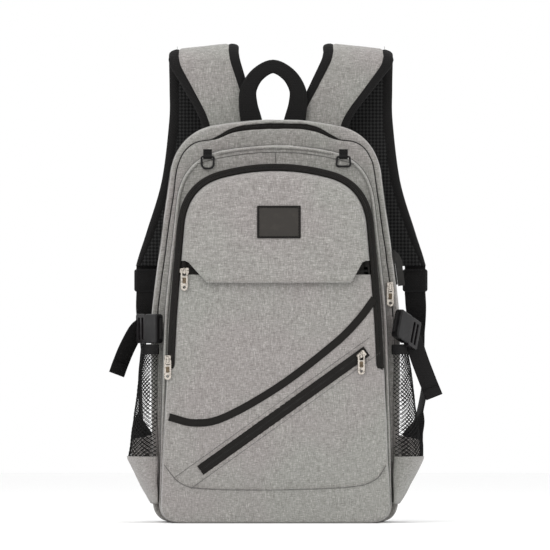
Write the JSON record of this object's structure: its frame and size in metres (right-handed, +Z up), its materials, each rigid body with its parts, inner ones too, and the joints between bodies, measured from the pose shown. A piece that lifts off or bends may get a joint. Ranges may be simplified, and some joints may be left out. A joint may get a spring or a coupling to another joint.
{
  "type": "laptop backpack",
  "caption": "Soft laptop backpack with front organiser, storm flap, side bottle pockets, buckles and a USB charging port.",
  "frame": {"origin": "centre of the flat underside that the bag stands on", "axes": "+Z up, the front of the bag faces -Y, +X is to the right seen from the front"},
  "size_m": [0.4101, 0.2433, 0.57],
  "materials": {
    "heather_polyester": "woven two-tone polyester, matt",
    "air_mesh": "spacer mesh over foam",
    "lining_foam": "lining cloth over thin foam",
    "base_sheet": "stiff plastic sheet",
    "zip_tape": "woven black tape with coil teeth",
    "black_webbing": "ribbed black webbing",
    "pocket_net": "elastic knitted net",
    "black_acetal": "moulded black plastic, fine grain",
    "grey_acetal": "moulded grey plastic, satin",
    "nickel": "polished cast metal, warm nickel",
    "port_rubber": "soft moulded rubber",
    "port_steel": "drawn steel shell",
    "patch_leather": "smooth dark synthetic leather"
  },
  "bodies": {
    "bag": {"arch_zip_tape": "zip_tape", "back_pad_left": "air_mesh", "back_pad_right": "air_mesh", "back_panel": "air_mesh", "base_board": "base_sheet", "buckle_housing_left": "black_acetal", "buckle_housing_right": "black_acetal", "compression_strap_left": "black_webbing", "compression_strap_right": "black_webbing", "diagonal_zip_tape": "zip_tape", "front_gusset": "heather_polyester", "front_panel_lower": "heather_polyester", "front_piping": "heather_polyester", "front_section_panel": "heather_polyester", "laptop_divider": "lining_foam", "main_front_panel": "heather_polyester", "main_zip_tape": "zip_tape", "mesh_pocket_left": "pocket_net", "mesh_pocket_right": "pocket_net", "pocket_base_left": "heather_polyester", "pocket_base_right": "heather_polyester", "pocket_gusset": "heather_polyester", "pocket_hem_left": "black_webbing", "pocket_hem_right": "black_webbing", "rear_gusset": "heather_polyester", "ring_tab_left": "black_webbing", "ring_tab_right": "black_webbing", "shoulder_strap_left": "heather_polyester", "shoulder_strap_right": "heather_polyester", "strap_anchor_left": "black_webbing", "strap_anchor_right": "black_webbing", "strap_webbing_left": "black_webbing", "strap_webbing_right": "black_webbing", "swoosh_tape": "zip_tape", "usb_plate": "port_rubber", "usb_socket": "port_steel"},
    "front_panel": {"front_panel_upper": "heather_polyester", "label_patch": "patch_leather", "flap_zip_tape": "zip_tape"},
    "storm_flap": {"storm_flap": "heather_polyester"},
    "flap_slider": {"flap_slider": "nickel"},
    "flap_pull": {"flap_pull": "nickel"},
    "diagonal_slider": {"diagonal_slider": "nickel"},
    "diagonal_pull": {"diagonal_pull": "nickel"},
    "pocket_slider": {"pocket_slider": "nickel"},
    "pocket_pull": {"pocket_pull": "nickel"},
    "main_slider": {"main_slider": "nickel"},
    "main_pull": {"main_pull": "nickel"},
    "d_ring_left": {"d_ring_left": "black_acetal"},
    "d_ring_right": {"d_ring_right": "black_acetal"},
    "carry_handle": {"carry_handle": "black_webbing"},
    "usb_cover": {"usb_cover": "port_rubber"},
    "buckle_clip_left": {"buckle_clip_left": "grey_acetal", "buckle_tail_left": "black_webbing"},
    "buckle_clip_right": {"buckle_clip_right": "grey_acetal", "buckle_tail_right": "black_webbing"},
    "ladder_lock_left": {"ladder_lock_left": "black_acetal"},
    "ladder_lock_right": {"ladder_lock_right": "black_acetal"}
  },
  "joints": [
    {"name": "front_panel_fold", "type": "hinge", "parent": "bag", "child": "front_panel", "pos_m": [0, -0.085, 0.27], "axis": [1, 0, 0], "range_deg": [0, 75]},
    {"name": "storm_flap_lift", "type": "hinge", "parent": "front_panel", "child": "storm_flap", "pos_m": [0, -0.0924, 0.312], "axis": [-1, 0, 0], "range_deg": [0, 75]},
    {"name": "flap_zip_travel", "type": "slide", "parent": "front_panel", "child": "flap_slider", "axis": [1, 0, 0], "range_m": [0, 0.2]},
    {"name": "flap_pull_swing", "type": "hinge", "parent": "flap_slider", "child": "flap_pull", "pos_m": [-0.1085, -0.08825, 0.3], "axis": [-1, 0, 0], "range_deg": [0, 95]},
    {"name": "diagonal_zip_travel", "type": "slide", "parent": "bag", "child": "diagonal_slider", "axis": [0.8123, 0, 0.5832], "range_m": [-0.215, 0]},
    {"name": "diagonal_pull_swing", "type": "hinge", "parent": "diagonal_slider", "child": "diagonal_pull", "pos_m": [0.1022, -0.08825, 0.20005], "axis": [-1, 0, 0], "range_deg": [0, 95]},
    {"name": "pocket_zip_travel", "type": "slide", "parent": "bag", "child": "pocket_slider", "axis": [0.0479, 0, 0.9988], "range_m": [0, 0.055]},
    {"name": "pocket_pull_swing", "type": "hinge", "parent": "pocket_slider", "child": "pocket_pull", "pos_m": [-0.12829, -0.08725, 0.194], "axis": [-1, 0, 0], "range_deg": [0, 95]},
    {"name": "main_zip_travel", "type": "slide", "parent": "bag", "child": "main_slider", "axis": [-0.1343, 0, 0.9909], "range_m": [-0.025, 0.085]},
    {"name": "main_pull_swing", "type": "hinge", "parent": "main_slider", "child": "main_pull", "pos_m": [0.13716, -0.00475, 0.281], "axis": [-1, 0, 0], "range_deg": [0, 95]},
    {"name": "d_ring_left_swing", "type": "hinge", "parent": "bag", "child": "d_ring_left", "pos_m": [-0.081, -0.0476, 0.436], "axis": [-1, 0, 0], "range_deg": [0, 110]},
    {"name": "d_ring_right_swing", "type": "hinge", "parent": "bag", "child": "d_ring_right", "pos_m": [0.081, -0.0476, 0.436], "axis": [-1, 0, 0], "range_deg": [0, 110]},
    {"name": "carry_handle_flop", "type": "hinge", "parent": "bag", "child": "carry_handle", "pos_m": [-0.003, 0.079, 0.4843], "axis": [1, 0, 0], "range_deg": [0, 75], "stiffness_Nm_per_rad": 0.05},
    {"name": "usb_cover_lift", "type": "hinge", "parent": "bag", "child": "usb_cover", "pos_m": [0.141, 0.035, 0.32524], "axis": [0, -1, 0], "range_deg": [0, 100]},
    {"name": "buckle_left_release", "type": "slide", "parent": "bag", "child": "buckle_clip_left", "axis": [-0.5105, 0.8599, 0], "range_m": [0, 0.03]},
    {"name": "buckle_right_release", "type": "slide", "parent": "bag", "child": "buckle_clip_right", "axis": [0.4798, 0.808, -0.342], "range_m": [0, 0.03]},
    {"name": "ladder_lock_left_tilt", "type": "hinge", "parent": "bag", "child": "ladder_lock_left", "pos_m": [-0.155, 0.1433, 0.3], "axis": [1, 0, 0], "range_deg": [0, 35]},
    {"name": "ladder_lock_right_tilt", "type": "hinge", "parent": "bag", "child": "ladder_lock_right", "pos_m": [0.168, 0.1433, 0.3], "axis": [1, 0, 0], "range_deg": [0, 35]}
  ]
}
